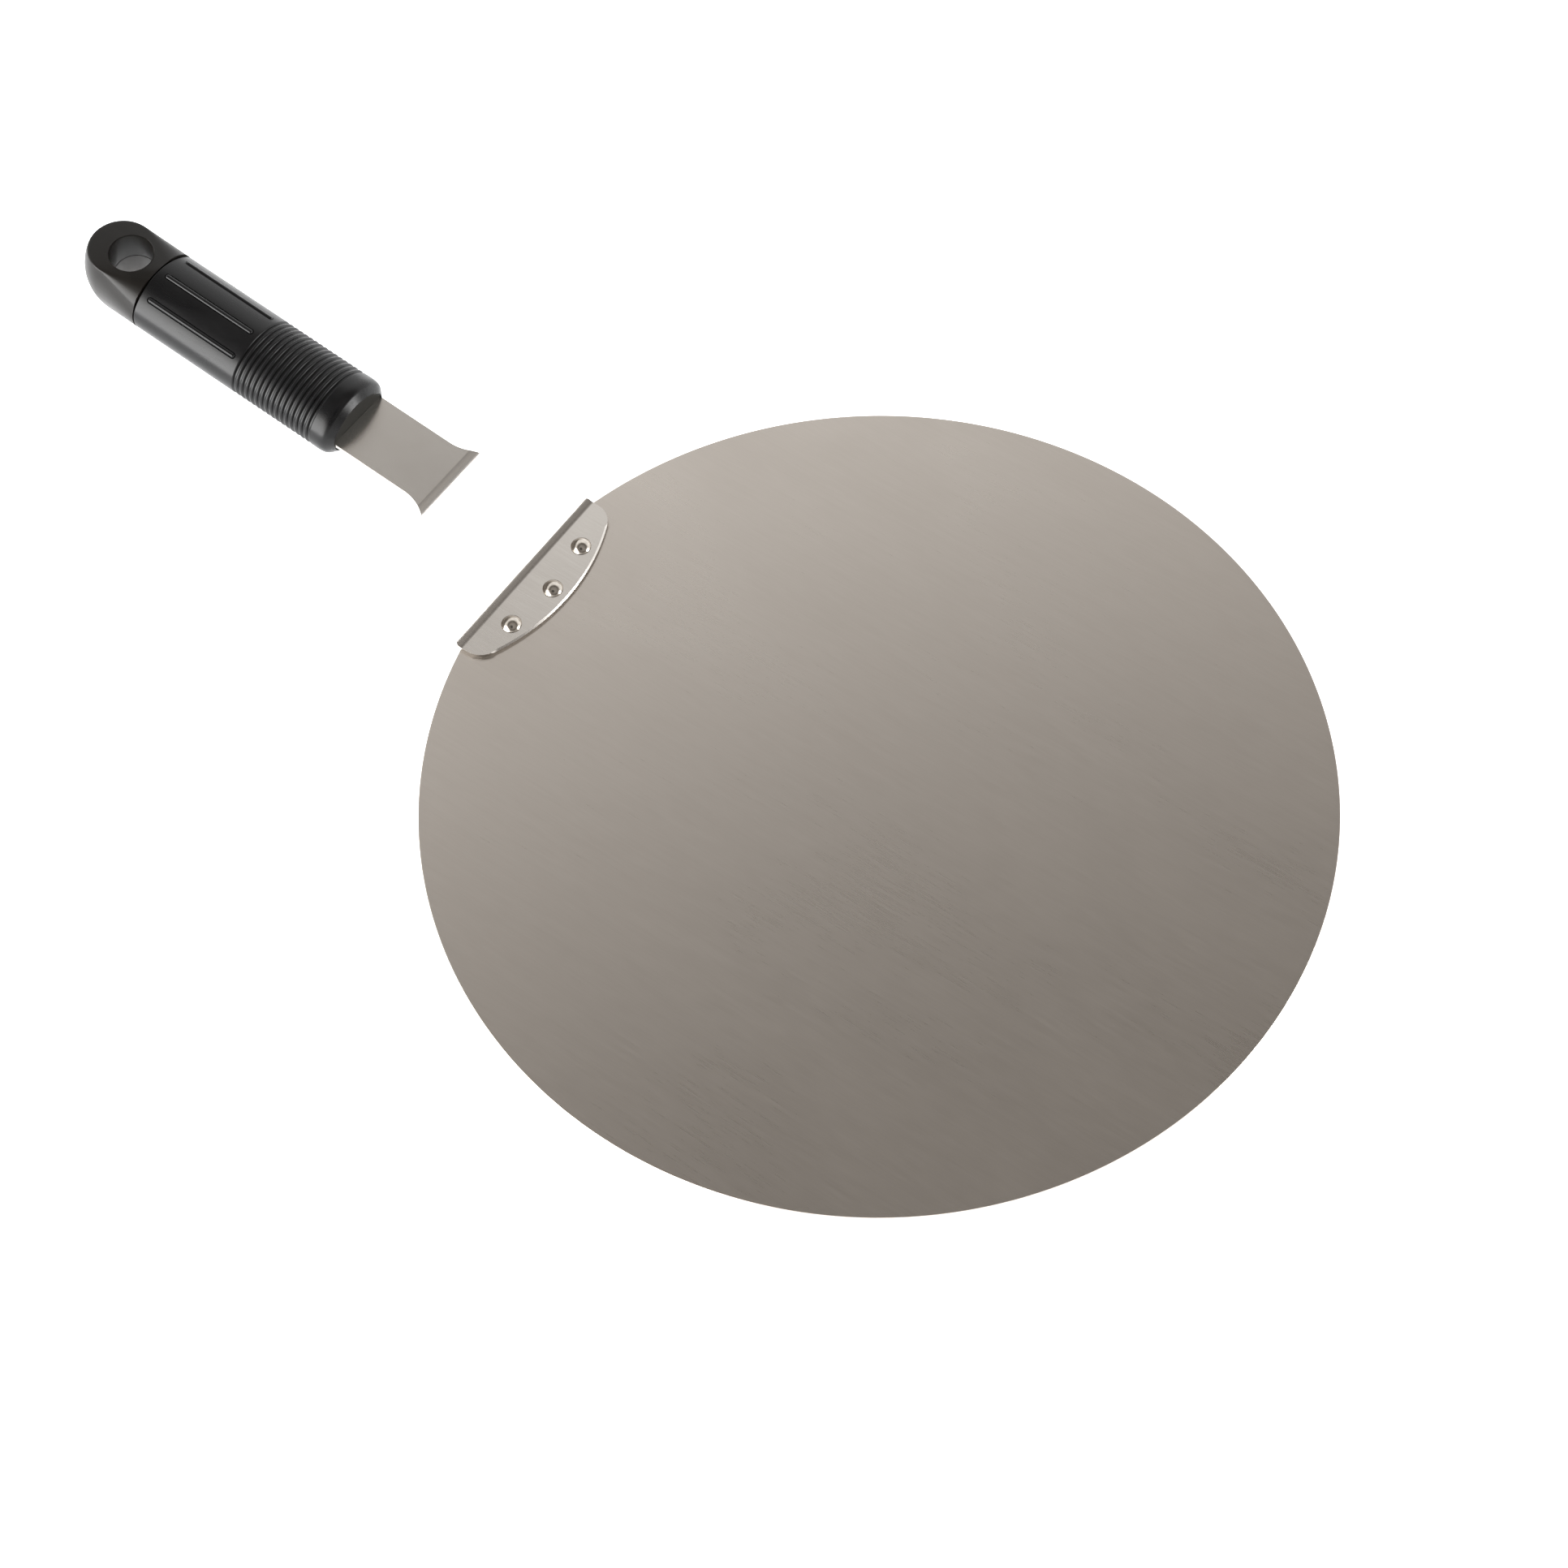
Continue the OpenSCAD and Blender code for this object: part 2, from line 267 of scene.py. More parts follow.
class Link:
    """A node's output, for sums in plain arithmetic."""

    def __init__(self, tree, socket=None):
        self.tree = tree
        self.socket = socket

    def node(self, kind, settings, sockets, output=0):
        """Adds a node to the tree: first its settings, and then the values or links of its sockets."""
        made = self.tree.nodes.new("ShaderNode" + kind)
        for name, value in settings.items():
            if name == "stops":
                for index, (place, colour) in enumerate(value):
                    if index > 1:
                        made.color_ramp.elements.new(place)
                    made.color_ramp.elements[index].position = place
                    made.color_ramp.elements[index].color = (*colour, 1)
            else:
                setattr(made, name, value)
        for name, value in sockets.items():
            if isinstance(value, Link):
                self.tree.links.new(value.socket, made.inputs[name])
            else:
                made.inputs[name].default_value = value
        return Link(self.tree, made.outputs[output] if made.outputs else None)

    def sum(self, operation, first, second):
        return self.node("Math", {"operation": operation}, {0: first, 1: second})

    def __add__(self, other):
        return self.sum("ADD", self, other)

    def __radd__(self, other):
        return self.sum("ADD", other, self)

    def __mul__(self, other):
        return self.sum("MULTIPLY", self, other)

    def __rmul__(self, other):
        return self.sum("MULTIPLY", other, self)


def new_finish(name):
    """A material and the start of its node tree."""
    finish = bpy.data.materials.new(name)
    finish.use_nodes = True
    finish.node_tree.nodes.clear()
    return finish, Link(finish.node_tree)


def close_finish(tree, sockets):
    """Adds the surface shader and the output."""
    shader = tree.node("BsdfPrincipled", {}, sockets)
    tree.node("OutputMaterial", {}, {"Surface": shader})


def noise(tree, place, scale, detail=2.0, roughness=0.5, distortion=0.0):
    return tree.node("TexNoise", {}, {"Vector": place, "Scale": scale, "Detail": detail,
                                      "Roughness": roughness, "Distortion": distortion})


def stretched(tree, turn, scale):
    """Object coordinates turned by an angle about Z and Y, and scaled along each axis."""
    place = tree.node("TexCoord", {}, {}, "Object")
    return tree.node("Mapping", {"vector_type": "POINT"},
                     {"Vector": place, "Rotation": turn, "Scale": scale})


def blend(tree, factor, first, second):
    """A colour between two others."""
    return tree.node("Mix", {"data_type": "RGBA"}, {0: factor, 6: (*first, 1), 7: (*second, 1)}, 2)


def span(tree, value, low, high, to_low, to_high):
    """Carries a value from one range to another."""
    return tree.node("MapRange", {}, {"Value": value, "From Min": low, "From Max": high,
                                      "To Min": to_low, "To Max": to_high})


def bump(tree, height, distance, strength=1.0):
    return tree.node("Bump", {}, {"Height": height, "Distance": distance, "Strength": strength})


# How the grain is turned on the plate and on the handle, and the heights between which painted light goes
# from shade at the foot to highlight at the top
NO_TURN = (0, 0, 0)
WITH_HANDLE = (0, -TILT, 0)
PAINTED_SHADE_FOOT_Z = 4 * MM
PAINTED_HIGHLIGHT_TOP_Z = 34 * MM


def steel_sheet(name, light, dark, gloss, painted_light_tones=(0.5, 0.5), contrast=1.0):
    """Brushed sheet steel: short grain lines and faint clouds, with painted light: a tone for its foot and
    one for its top, so the foot can be painted darker and the top lighter.
    """
    finish, tree = new_finish(name)
    height_for_painted_light = tree.node("SeparateXYZ", {}, {"Vector": tree.node("TexCoord", {}, {}, "Object")}, "Z")
    fine = noise(tree, stretched(tree, NO_TURN, (90, 2600, 2600)), 1.0, 3.0, 0.6)
    streak = noise(tree, stretched(tree, NO_TURN, (38, 620, 620)), 1.0, 3.0, 0.55)
    cloud = noise(tree, stretched(tree, NO_TURN, (9, 16, 16)), 1.0, 4.0, 0.6, 0.4)
    mottle = (span(tree, cloud, 0.3, 0.7, -0.31, 0.31) + span(tree, streak, 0.3, 0.7, -0.07, 0.07)
              + span(tree, fine, 0.25, 0.75, -0.16, 0.16))
    # painted light: the colour runs from the foot's tone to the top's tone with height, added to the
    # steel's random mottle
    mottle_and_painted_light = span(tree, height_for_painted_light, PAINTED_SHADE_FOOT_Z, PAINTED_HIGHLIGHT_TOP_Z, *painted_light_tones) + mottle * contrast
    rough = (span(tree, fine, 0.2, 0.8, gloss - 0.02, gloss + 0.025)
             + span(tree, cloud, 0.3, 0.7, 0.02, -0.02))
    height = fine * 0.7 + streak * 0.1
    close_finish(tree, {"Base Color": blend(tree, mottle_and_painted_light, dark, light), "Metallic": 1.0, "Roughness": rough,
                        "Normal": bump(tree, height, 0.01 * MM, 0.25)})
    return finish


def polished_steel(name, colour, gloss):
    """Cut or headed steel that rubbing has made bright, with hairline scratches."""
    finish, tree = new_finish(name)
    hair = noise(tree, stretched(tree, NO_TURN, (900, 900, 4200)), 1.0, 2.0, 0.5)
    pit = noise(tree, stretched(tree, NO_TURN, (700, 700, 700)), 1.0, 3.0, 0.6)
    darker = tuple(part * 0.8 for part in colour)
    close_finish(tree, {"Base Color": blend(tree, span(tree, pit, 0.35, 0.65, 0, 1), darker, colour),
                        "Metallic": 1.0,
                        "Roughness": span(tree, hair, 0.25, 0.75, gloss - 0.03, gloss + 0.05),
                        "Normal": bump(tree, hair + pit, 0.01 * MM, 0.4)})
    return finish


def moulded_plastic(name, colour, worn, gloss, texture=0.012 * MM):
    """Moulded black plastic: fine orange peel, faint flow clouds and a hand-worn sheen."""
    finish, tree = new_finish(name)
    peel = noise(tree, stretched(tree, NO_TURN, (1, 1, 1)), 1500.0, 2.0, 0.5)
    flow = noise(tree, stretched(tree, WITH_HANDLE, (26, 90, 90)), 1.0, 3.0, 0.55, 0.6)
    scuff = noise(tree, stretched(tree, WITH_HANDLE, (140, 900, 900)), 1.0, 2.0, 0.6)
    wear = span(tree, flow, 0.35, 0.7, 0.0, 1.0)
    rough = (span(tree, flow, 0.3, 0.7, gloss - 0.03, gloss + 0.05)
             + span(tree, scuff, 0.55, 0.8, 0.0, 0.06))
    close_finish(tree, {"Base Color": blend(tree, wear, colour, worn), "Roughness": rough,
                        "IOR": 1.5, "Specular IOR Level": 0.32,
                        "Normal": bump(tree, peel + scuff * 0.5, texture, 0.6)})
    return finish


# ---------------------------------------------------------------- the plate, bracket and rivets

def make_plate(steel):
    """The round blade, with its edge rounded and a countersunk hole for each rivet."""
    bpy.ops.object.select_all(action="DESELECT")
    bpy.ops.mesh.primitive_cylinder_add(vertices=360, radius=PLATE_R, depth=PLATE_T,
                                        location=(0, 0, PLATE_T / 2))
    plate = bpy.context.object
    plate.name = "plate_disc"
    bpy.ops.object.transform_apply(location=True)
    modify(plate, "BEVEL", width=PLATE_EDGE, segments=3, limit_method="ANGLE",
           angle_limit=math.radians(60))
    past = PLATE_T
    shank = RIVET_SHANK_R + RIVET_CLEAR
    tail = RIVET_TAIL_R + RIVET_CLEAR
    for place in RIVET_PLACES.values():
        hole = lathe("hole", (0, 0, PLATE_T + past), [
            (shank, 0, PLATE_T + past),
            (shank, 0, RIVET_TAIL_H),
            (tail, 0, 0),
            (tail, 0, -past),
            (0, 0, -past)], (0, 0, 0), UP)
        put(hole, Matrix.Translation((*place, 0)))
        combine(plate, hole, "DIFFERENCE")
    put(plate, TURNED)
    plate.data.materials.append(steel)
    hand_over(plate, "plate")


def bent_sheet():
    """The whole width of the sheet: flange, rise and strip, with a turn at each bend."""
    lower_t = BEND_R * math.tan(RISE_ANGLE / 2)
    turn = RISE_ANGLE - TILT
    upper_t = BEND_R * math.tan(turn / 2)
    rise = Vector((math.cos(RISE_ANGLE), 0, math.sin(RISE_ANGLE)))
    run = Vector((math.cos(TILT), 0, math.sin(TILT)))
    past = 3 * MM
    start = Vector((FLANGE_U - past, -BEND_HALF_W - past, SHEET_Z))
    sheet = point_at(start, "bracket_sheet")
    bpy.ops.mesh.extrude_region_move(TRANSFORM_OT_translate={"value": (0, 2 * (BEND_HALF_W + past), 0)})
    leave()
    edit(sheet)
    first = BEND_U - lower_t - start.x
    slope = RISE_H / math.sin(RISE_ANGLE) - lower_t - upper_t
    strip = STRIP_LEN + TANG_LEN - upper_t
    bend_a = Vector((BEND_U - lower_t, 0, SHEET_Z + BEND_R))
    begin_b = Vector((UPPER_U, 0, SHEET_Z + RISE_H)) - rise * upper_t
    bend_b = begin_b + BEND_R * Vector((rise.z, 0, -rise.x))
    bpy.ops.mesh.extrude_region_move(TRANSFORM_OT_translate={"value": (first, 0, 0)})
    bpy.ops.mesh.spin(steps=10, angle=RISE_ANGLE, center=bend_a, axis=ACROSS)
    bpy.ops.mesh.extrude_region_move(TRANSFORM_OT_translate={"value": rise * slope})
    bpy.ops.mesh.spin(steps=10, angle=-turn, center=bend_b, axis=ACROSS)
    bpy.ops.mesh.extrude_region_move(TRANSFORM_OT_translate={"value": run * strip})
    leave()
    tidy_faces(sheet)
    modify(sheet, "SOLIDIFY", thickness=SHEET_T, offset=0.0)
    tidy_faces(sheet)
    return sheet


def bracket_outline():
    """Plan of the bracket: curved flange edge, sides, neck curves, strip and tang."""
    centre = Vector((FLANGE_U + FLANGE_R, 0, 0))
    lean = FLANGE_LEAN
    along = Vector((math.cos(lean), math.sin(lean), 0))
    side = Vector((BEND_U, BEND_HALF_W, 0)) + Vector((math.sin(lean), -math.cos(lean), 0)) * FLANGE_CORNER_R
    offset = side - centre
    reach = offset.dot(along)
    back = reach + math.sqrt(reach ** 2 - offset.length_squared + (FLANGE_R - FLANGE_CORNER_R) ** 2)
    corner = side - along * back
    turn = math.atan2(corner.y - centre.y, corner.x - centre.x)
    neck_u = UPPER_U + NECK_PAST_BEND
    slope = math.atan2(BEND_HALF_W - STRIP_HALF_W, neck_u - BEND_U)
    neck = Vector((neck_u + NECK_R * math.tan(slope / 2), STRIP_HALF_W + NECK_R, 0))
    neck_start = neck + NECK_R * Vector((-math.sin(slope), -math.cos(slope), 0))
    shoulder = FRONT_U + TANG_PLAY - SHEET_T / 2 * math.sin(TILT)
    end = FRONT_U + TANG_LEN * math.cos(TILT) - MM
    outline = draw("bracket_plan", (FLANGE_U, 0, 0), [
        (centre, UP, turn - math.pi, 30),
        (corner, UP, math.pi / 2 + lean - turn, 14),
        (BEND_U, BEND_HALF_W, 0),
        tuple(neck_start),
        (neck, UP, slope, 12),
        (shoulder, STRIP_HALF_W, 0),
        (shoulder, TANG_HALF_W, 0),
        (end - TANG_CORNER_R, TANG_HALF_W, 0),
        (Vector((end - TANG_CORNER_R, TANG_HALF_W - TANG_CORNER_R, 0)), UP, -math.pi / 2, 6),
        (end, 0, 0)])
    mirror_closed(outline)
    fill_and_pull(outline, (0, 0, FRONT_Z * 2))
    put(outline, Matrix.Translation((0, 0, -FRONT_Z / 4)))
    return outline


def round_hole(place, radius, depth, matrix=Matrix.Identity(4)):
    """A round cutter, drawn upright and then carried to its place."""
    bpy.ops.object.select_all(action="DESELECT")
    bpy.ops.mesh.primitive_cylinder_add(vertices=48, radius=radius, depth=depth, location=place)
    hole = bpy.context.object
    bpy.ops.object.transform_apply(location=True)
    put(hole, matrix)
    return hole


def coin_flange(bracket):
    """Presses a slanted edge along the top of the flange's arc."""
    centre = Vector((FLANGE_U + FLANGE_R, 0))
    top = SHEET_Z + SHEET_T / 2
    points = bracket.data.vertices

    def on_arc(point):
        place = points[point].co
        on_radius = abs((place.xy - centre).length - FLANGE_R) < NEAR
        return on_radius and abs(place.z - top) < NEAR and place.x < BEND_U

    edit(bracket, "DESELECT")
    bpy.ops.mesh.select_mode(type="EDGE")
    leave()
    for side in bracket.data.edges:
        side.select = on_arc(side.vertices[0]) and on_arc(side.vertices[1])
    bpy.ops.object.mode_set(mode="EDIT")
    bpy.ops.mesh.bevel(offset=COINED_EDGE, segments=1)
    leave()


def make_bracket(steel, bright):
    """The bent sheet cut to its plan and drilled, with its cut faces brighter than its broad ones."""
    bracket = bent_sheet()
    combine(bracket, bracket_outline(), "INTERSECT")
    drill = 3 * SHEET_T
    for place in RIVET_PLACES.values():
        hole = round_hole((*place, SHEET_Z), RIVET_SHANK_R + RIVET_CLEAR, drill)
        combine(bracket, hole, "DIFFERENCE")
    on_strip = TURNED @ ON_HANDLE
    for back in PEG_PLACES:
        hole = round_hole((back, 0, 0), PEG_HOLE_R, drill, on_strip)
        combine(bracket, hole, "DIFFERENCE")
    coin_flange(bracket)
    modify(bracket, "BEVEL", width=CUT_EDGE, segments=3, limit_method="ANGLE",
           angle_limit=math.radians(50))
    put(bracket, TURNED)
    bracket.data.materials.append(steel)
    bracket.data.materials.append(bright)
    upright = 0.4
    for face in bracket.data.polygons:
        face.material_index = int(abs(face.normal.z) < upright)
    hand_over(bracket, "bracket")


def make_rivets(bright):
    """One rivet, turned on the lathe and copied: low domed head, shank and flush tail."""
    seat = PLATE_T + SHEET_T
    dome_r = (RIVET_HEAD_R ** 2 + RIVET_HEAD_H ** 2) / (2 * RIVET_HEAD_H)
    dome = Vector((0, 0, seat + RIVET_HEAD_H - dome_r))
    short_of_rim = 0.97
    swing = math.asin(RIVET_HEAD_R / dome_r) * short_of_rim
    rivet = lathe("rivet_one", (0, 0, seat + RIVET_HEAD_H), [
        (dome, ACROSS, swing, 12),
        (RIVET_HEAD_R, 0, seat + RIVET_LIP),
        (RIVET_HEAD_R, 0, seat),
        (RIVET_SHANK_R, 0, seat),
        (RIVET_SHANK_R, 0, RIVET_TAIL_H),
        (RIVET_TAIL_R, 0, 0),
        (0, 0, 0)], (0, 0, 0), UP)
    for name, place in RIVET_PLACES.items():
        copy = rivet.copy()
        copy.data = rivet.data.copy()
        copy.name = name + "_set"
        bpy.context.collection.objects.link(copy)
        put(copy, TURNED @ Matrix.Translation((*place, 0)))
        copy.data.materials.append(bright)
        hand_over(copy, name, math.radians(40))
    bpy.data.objects.remove(rivet)


# ---------------------------------------------------------------- the handle

def oval_outline(name, inset=0.0, place=0.0):
    """Closed outline of the grip's section: two flat arcs and two side arcs, drawn by the quarter."""
    half_w = GRIP_HALF_W - inset
    half_h = GRIP_HALF_H - inset
    side_r = GRIP_SIDE_R - inset
    top_r = GRIP_TOP_R - inset
    top = Vector((place, 0, half_h - top_r))
    side = Vector((place, half_w - side_r, 0))
    join = math.atan2(-top.z, side.y)
    outline = draw(name, (place, 0, half_h), [
        (top, ALONG, join - math.pi / 2, 26),
        (side, ALONG, -join, 18)])
    mirror_closed(outline, True, True)
    return outline


def oval_block(name, inset, start, end):
    """A solid with the grip's section, or one inset from it, between two places along the handle."""
    block = oval_outline(name, inset, start)
    fill_and_pull(block, (end - start, 0, 0))
    return block


def groove_stations():
    """Places along the grip and how far its skin lies inside the full section there."""
    nose = [(0.0, 3.0), (0.12, 2.85), (1.9, 1.05), (2.15, 0.82), (2.5, 0.58), (3.0, 0.34), (3.6, 0.16),
            (4.4, 0.05), (5.4, 0.0)]
    flank = [(0.2, 0.8), (0.38, 0.72), (0.5, 0.52), (0.6, 0.3), (0.72, 0.15), (0.85, 0.06), (1.0, 0.01)]
    dip = [(-along, inset) for along, inset in reversed(flank)] + flank
    stations = [(along * MM, inset * MM) for along, inset in nose]
    for number in range(1, GROOVES + 1):
        middle = COLLAR_LEN + number * GROOVE_PITCH - GROOVE_W / 2
        stations += [(middle + along * MM, inset * MM) for along, inset in dip]
    start = stations[-1][0]
    last = GRIP_LEN - 0.2 * MM
    plain = 12
    stations += [(start + (last - start) * part / plain, 0.0) for part in range(1, plain + 1)]
    return stations + [(GRIP_LEN - 0.05 * MM, 0.06 * MM), (GRIP_LEN, 0.2 * MM)]


def swept_grip():
    """The grip's skin: its oval end face is pulled from station to station and resized at each."""
    stations = groove_stations()
    grip = oval_outline("grip")
    edit(grip)
    bpy.ops.mesh.edge_face_add()
    was = 0.0
    for number, (along, inset) in enumerate(stations):
        if number:
            step = along - stations[number - 1][0]
            bpy.ops.mesh.extrude_region_move(TRANSFORM_OT_translate={"value": (step, 0, 0)})
        across = (GRIP_HALF_W - inset) / (GRIP_HALF_W - was)
        high = (GRIP_HALF_H - inset) / (GRIP_HALF_H - was)
        bpy.ops.transform.resize(value=(1, across, high), center_override=(along, 0, 0))
        was = inset
    leave()
    tidy_faces(grip)
    return grip


def rib_rod(name, radius, rise):
    """A rod with round ends that lies along the grip's crest, standing proud by rise."""
    middle = Vector((0, 0, GRIP_HALF_H + rise - radius))
    start = Vector((RIB_FRONT, 0, 0)) + middle
    end = Vector((RIB_BACK, 0, 0)) + middle
    return lathe(name, start - ALONG * radius, [
        (start, ACROSS, math.pi / 2, 6),
        tuple(end + UP * radius),
        (end, ACROSS, math.pi / 2, 6)], middle, ALONG, 24)


def rods_on_grip(name, radius, rise):
    """Three rods on the grip's top and three on its underside, each leaning with the surface under it."""
    centre = Matrix.Translation((0, 0, GRIP_HALF_H - GRIP_TOP_R))
    rod = rib_rod(name, radius, rise)
    rods = []
    for half in (0, math.pi):
        for sideways in (-RIB_GAP, 0, RIB_GAP):
            swing = Matrix.Rotation(half, 4, "X") @ centre @ Matrix.Rotation(
                -math.asin(sideways / GRIP_TOP_R), 4, "X") @ centre.inverted()
            copy = rod.copy()
            copy.data = rod.data.copy()
            bpy.context.collection.objects.link(copy)
            put(copy, swing)
            rods.append(copy)
    bpy.data.objects.remove(rod)
    bpy.ops.object.select_all(action="DESELECT")
    for one in rods:
        one.select_set(True)
    bpy.context.view_layer.objects.active = rods[0]
    bpy.ops.object.join()
    return rods[0]


def make_grip(plastic):
    """The hollow grip, with each rib lying in a shallow slot."""
    grip = swept_grip()
    past = 5 * MM
    combine(grip, rods_on_grip("slots", SLOT_R, 2 * SLOT_R - SLOT_DEPTH), "DIFFERENCE")
    combine(grip, rods_on_grip("ribs", RIB_R, RIB_RISE), "UNION")
    combine(grip, oval_block("bore", GRIP_WALL, -past, GRIP_LEN + past), "DIFFERENCE")
    grip.name = "grip_ribbed"
    put(grip, ON_HANDLE)
    grip.data.materials.append(plastic)
    hand_over(grip, "grip_sleeve")


def cap_body():
    """The cap's outer form: the hull of the grip's oval and a thick round end with a swelling wall."""
    wall_r = (CAP_HALF_T ** 2 + CAP_BULGE ** 2) / (2 * CAP_BULGE)
    half_angle = math.asin(CAP_HALF_T / wall_r)
    top_edge = CAP_MIDDLE + CAP_END_R - CAP_BULGE
    end = lathe("cap_end", (CAP_MIDDLE, 0, CAP_HALF_T), [
        (top_edge, 0, CAP_HALF_T),
        (Vector((CAP_MIDDLE + CAP_END_R - wall_r, 0, 0)), ACROSS, 2 * half_angle, 20),
        (CAP_MIDDLE, 0, -CAP_HALF_T)], (CAP_MIDDLE, 0, 0), UP, 96)
    before_seam = 6 * MM
    root = oval_block("cap_root", 0.0, GRIP_LEN - before_seam, GRIP_LEN + 2 * SEAM_W)
    bpy.ops.object.select_all(action="DESELECT")
    end.select_set(True)
    root.select_set(True)
    bpy.context.view_layer.objects.active = end
    bpy.ops.object.join()
    edit(end)
    bpy.ops.mesh.convex_hull()
    leave()
    fine_grid = 0.36 * MM
    modify(end, "REMESH", mode="VOXEL", voxel_size=fine_grid, adaptivity=0.0)
    modify(end, "SMOOTH", factor=0.5, iterations=3)
    return end


def hang_hole():
    """The cutter for the hang hole: a flared rim at both ends and a small parting step half way."""
    past = 3 * MM
    outer = HANG_R + BORE_RIM
    below = HANG_R - BORE_STEP
    return lathe("hang_hole", (HANG_U, 0, BORE_TOP + past), [
        (HANG_U + outer + past, 0, BORE_TOP + past),
        (HANG_U + outer, 0, BORE_TOP),
        (HANG_U + HANG_R + BORE_FLARE, 0, BORE_TOP - BORE_RIM * 0.6),
        (HANG_U + HANG_R, 0, BORE_TOP - 2 * BORE_RIM),
        (HANG_U + HANG_R, 0, BORE_PARTING),
        (HANG_U + below, 0, BORE_PARTING - BORE_STEP),
        (HANG_U + below, 0, 2 * BORE_RIM - BORE_TOP),
        (HANG_U + HANG_R + BORE_FLARE, 0, BORE_RIM * 0.6 - BORE_TOP),
        (HANG_U + outer, 0, -BORE_TOP),
        (HANG_U + outer + past, 0, -BORE_TOP - past),
        (HANG_U, 0, -BORE_TOP - past)], (HANG_U, 0, 0), UP, 72)


def make_cap(plastic, painted_light_plastic):
    """The cap behind its shadow line, with a pocket, the hang hole and a painted highlight: a paler plastic
    on the lower half of its bore.
    """
    cap = cap_body()
    seam = GRIP_LEN + SEAM_W
    edit(cap)
    bpy.ops.mesh.bisect(plane_co=(seam, 0, 0), plane_no=ALONG, clear_inner=True, use_fill=True)
    pick_faces(cap, lambda centre, normal: abs(centre.x - seam) < NEAR / 2 and abs(normal.x) > 0.99)
    bpy.ops.mesh.inset(thickness=SEAM_DEPTH)
    bpy.ops.mesh.extrude_region_move(TRANSFORM_OT_translate={"value": (-SEAM_W, 0, 0)})
    leave()
    tidy_faces(cap)
    combine(cap, oval_block("pocket", SPIGOT_WALL, GRIP_LEN - MM, GRIP_LEN + SPIGOT_LEN), "DIFFERENCE")
    combine(cap, hang_hole(), "DIFFERENCE")
    cap.name = "end_cap_moulded"
    cap.data.materials.append(plastic)
    cap.data.materials.append(painted_light_plastic)
    middle = Vector((HANG_U, 0))
    bore_reach = HANG_R + 0.05 * MM
    # painted light: bore faces below the parting step get the paler plastic, which stands in for the
    # brighter light in the bore's lower half
    for face in cap.data.polygons:
        in_bore = (face.center.xy - middle).length < bore_reach
        face.material_index = int(in_bore and face.center.z < BORE_PARTING)
    put(cap, ON_HANDLE)
    hand_over(cap, "end_cap")


def finish_core(plastic):
    """The moulded core keeps its own shape and gets its finish."""
    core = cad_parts["handle_core"]
    core.data.materials.clear()
    core.data.materials.append(plastic)


# ---------------------------------------------------------------- camera, floor and light

def way_to(azimuth, elevation):
    """The direction at an azimuth, counted from -Y towards +X, and an elevation, in radians."""
    return Vector((math.sin(azimuth) * math.cos(elevation), -math.cos(azimuth) * math.cos(elevation),
                   math.sin(elevation)))


def add_camera():
    """A camera that looks down on the plate across its right side."""
    azimuth = math.radians(39.04)
    roll = math.radians(-4.20)
    distance = 864.43 * MM
    aim = Vector((-25.05, -17.56, 0)) * MM
    back = way_to(azimuth, math.radians(60.09))
    right = Vector((math.cos(azimuth), math.sin(azimuth), 0))
    up = back.cross(right)
    turned_right = right * math.cos(roll) + up * math.sin(roll)
    turned_up = up * math.cos(roll) - right * math.sin(roll)
    lens = bpy.data.cameras.new("camera")
    lens.lens = 59.63
    lens.sensor_width = 36
    lens.clip_start = 0.01
    camera = bpy.data.objects.new("camera", lens)
    camera.matrix_world = Matrix.Translation(aim + back * distance) @ Matrix(
        (turned_right, turned_up, back)).transposed().to_4x4()
    bpy.context.collection.objects.link(camera)
    bpy.context.scene.camera = camera


def add_floor():
    """A pale floor that glows a little, just below the plate."""
    drop = 0.02 * MM
    bpy.ops.object.select_all(action="DESELECT")
    bpy.ops.mesh.primitive_plane_add(size=6, location=(0, 0, -drop))
    floor = bpy.context.object
    floor.name = "floor"
    finish, tree = new_finish("pale_floor")
    close_finish(tree, {"Base Color": (0.92, 0.92, 0.92, 1), "Roughness": 0.9, "Specular IOR Level": 0.1,
                        "Emission Color": (0.96, 0.98, 1, 1), "Emission Strength": 1.1})
    floor.data.materials.append(finish)


def add_panel(name, azimuth, elevation, distance, size, power):
    """A soft square light that faces the plate's middle."""
    way = way_to(math.radians(azimuth), math.radians(elevation))
    lamp = bpy.data.lights.new(name, "AREA")
    lamp.shape = "RECTANGLE"
    lamp.size, lamp.size_y = size
    lamp.energy = power
    panel = bpy.data.objects.new(name, lamp)
    facing = way.to_track_quat("Z", "Y").to_matrix().to_4x4()
    panel.matrix_world = Matrix.Translation(way * distance) @ facing
    panel.visible_camera = False
    bpy.context.collection.objects.link(panel)


# The middle of the room's dim upper part, the dark shape of whoever looks on, and the broad window, as
# directions of length 1 from the plate's middle
DIM_WAY = (0.362, -0.135, 0.922)
WATCHER_WAY = (0.314, -0.387, 0.867)
WINDOW_WAY = (-0.335, -0.919, 0.208)


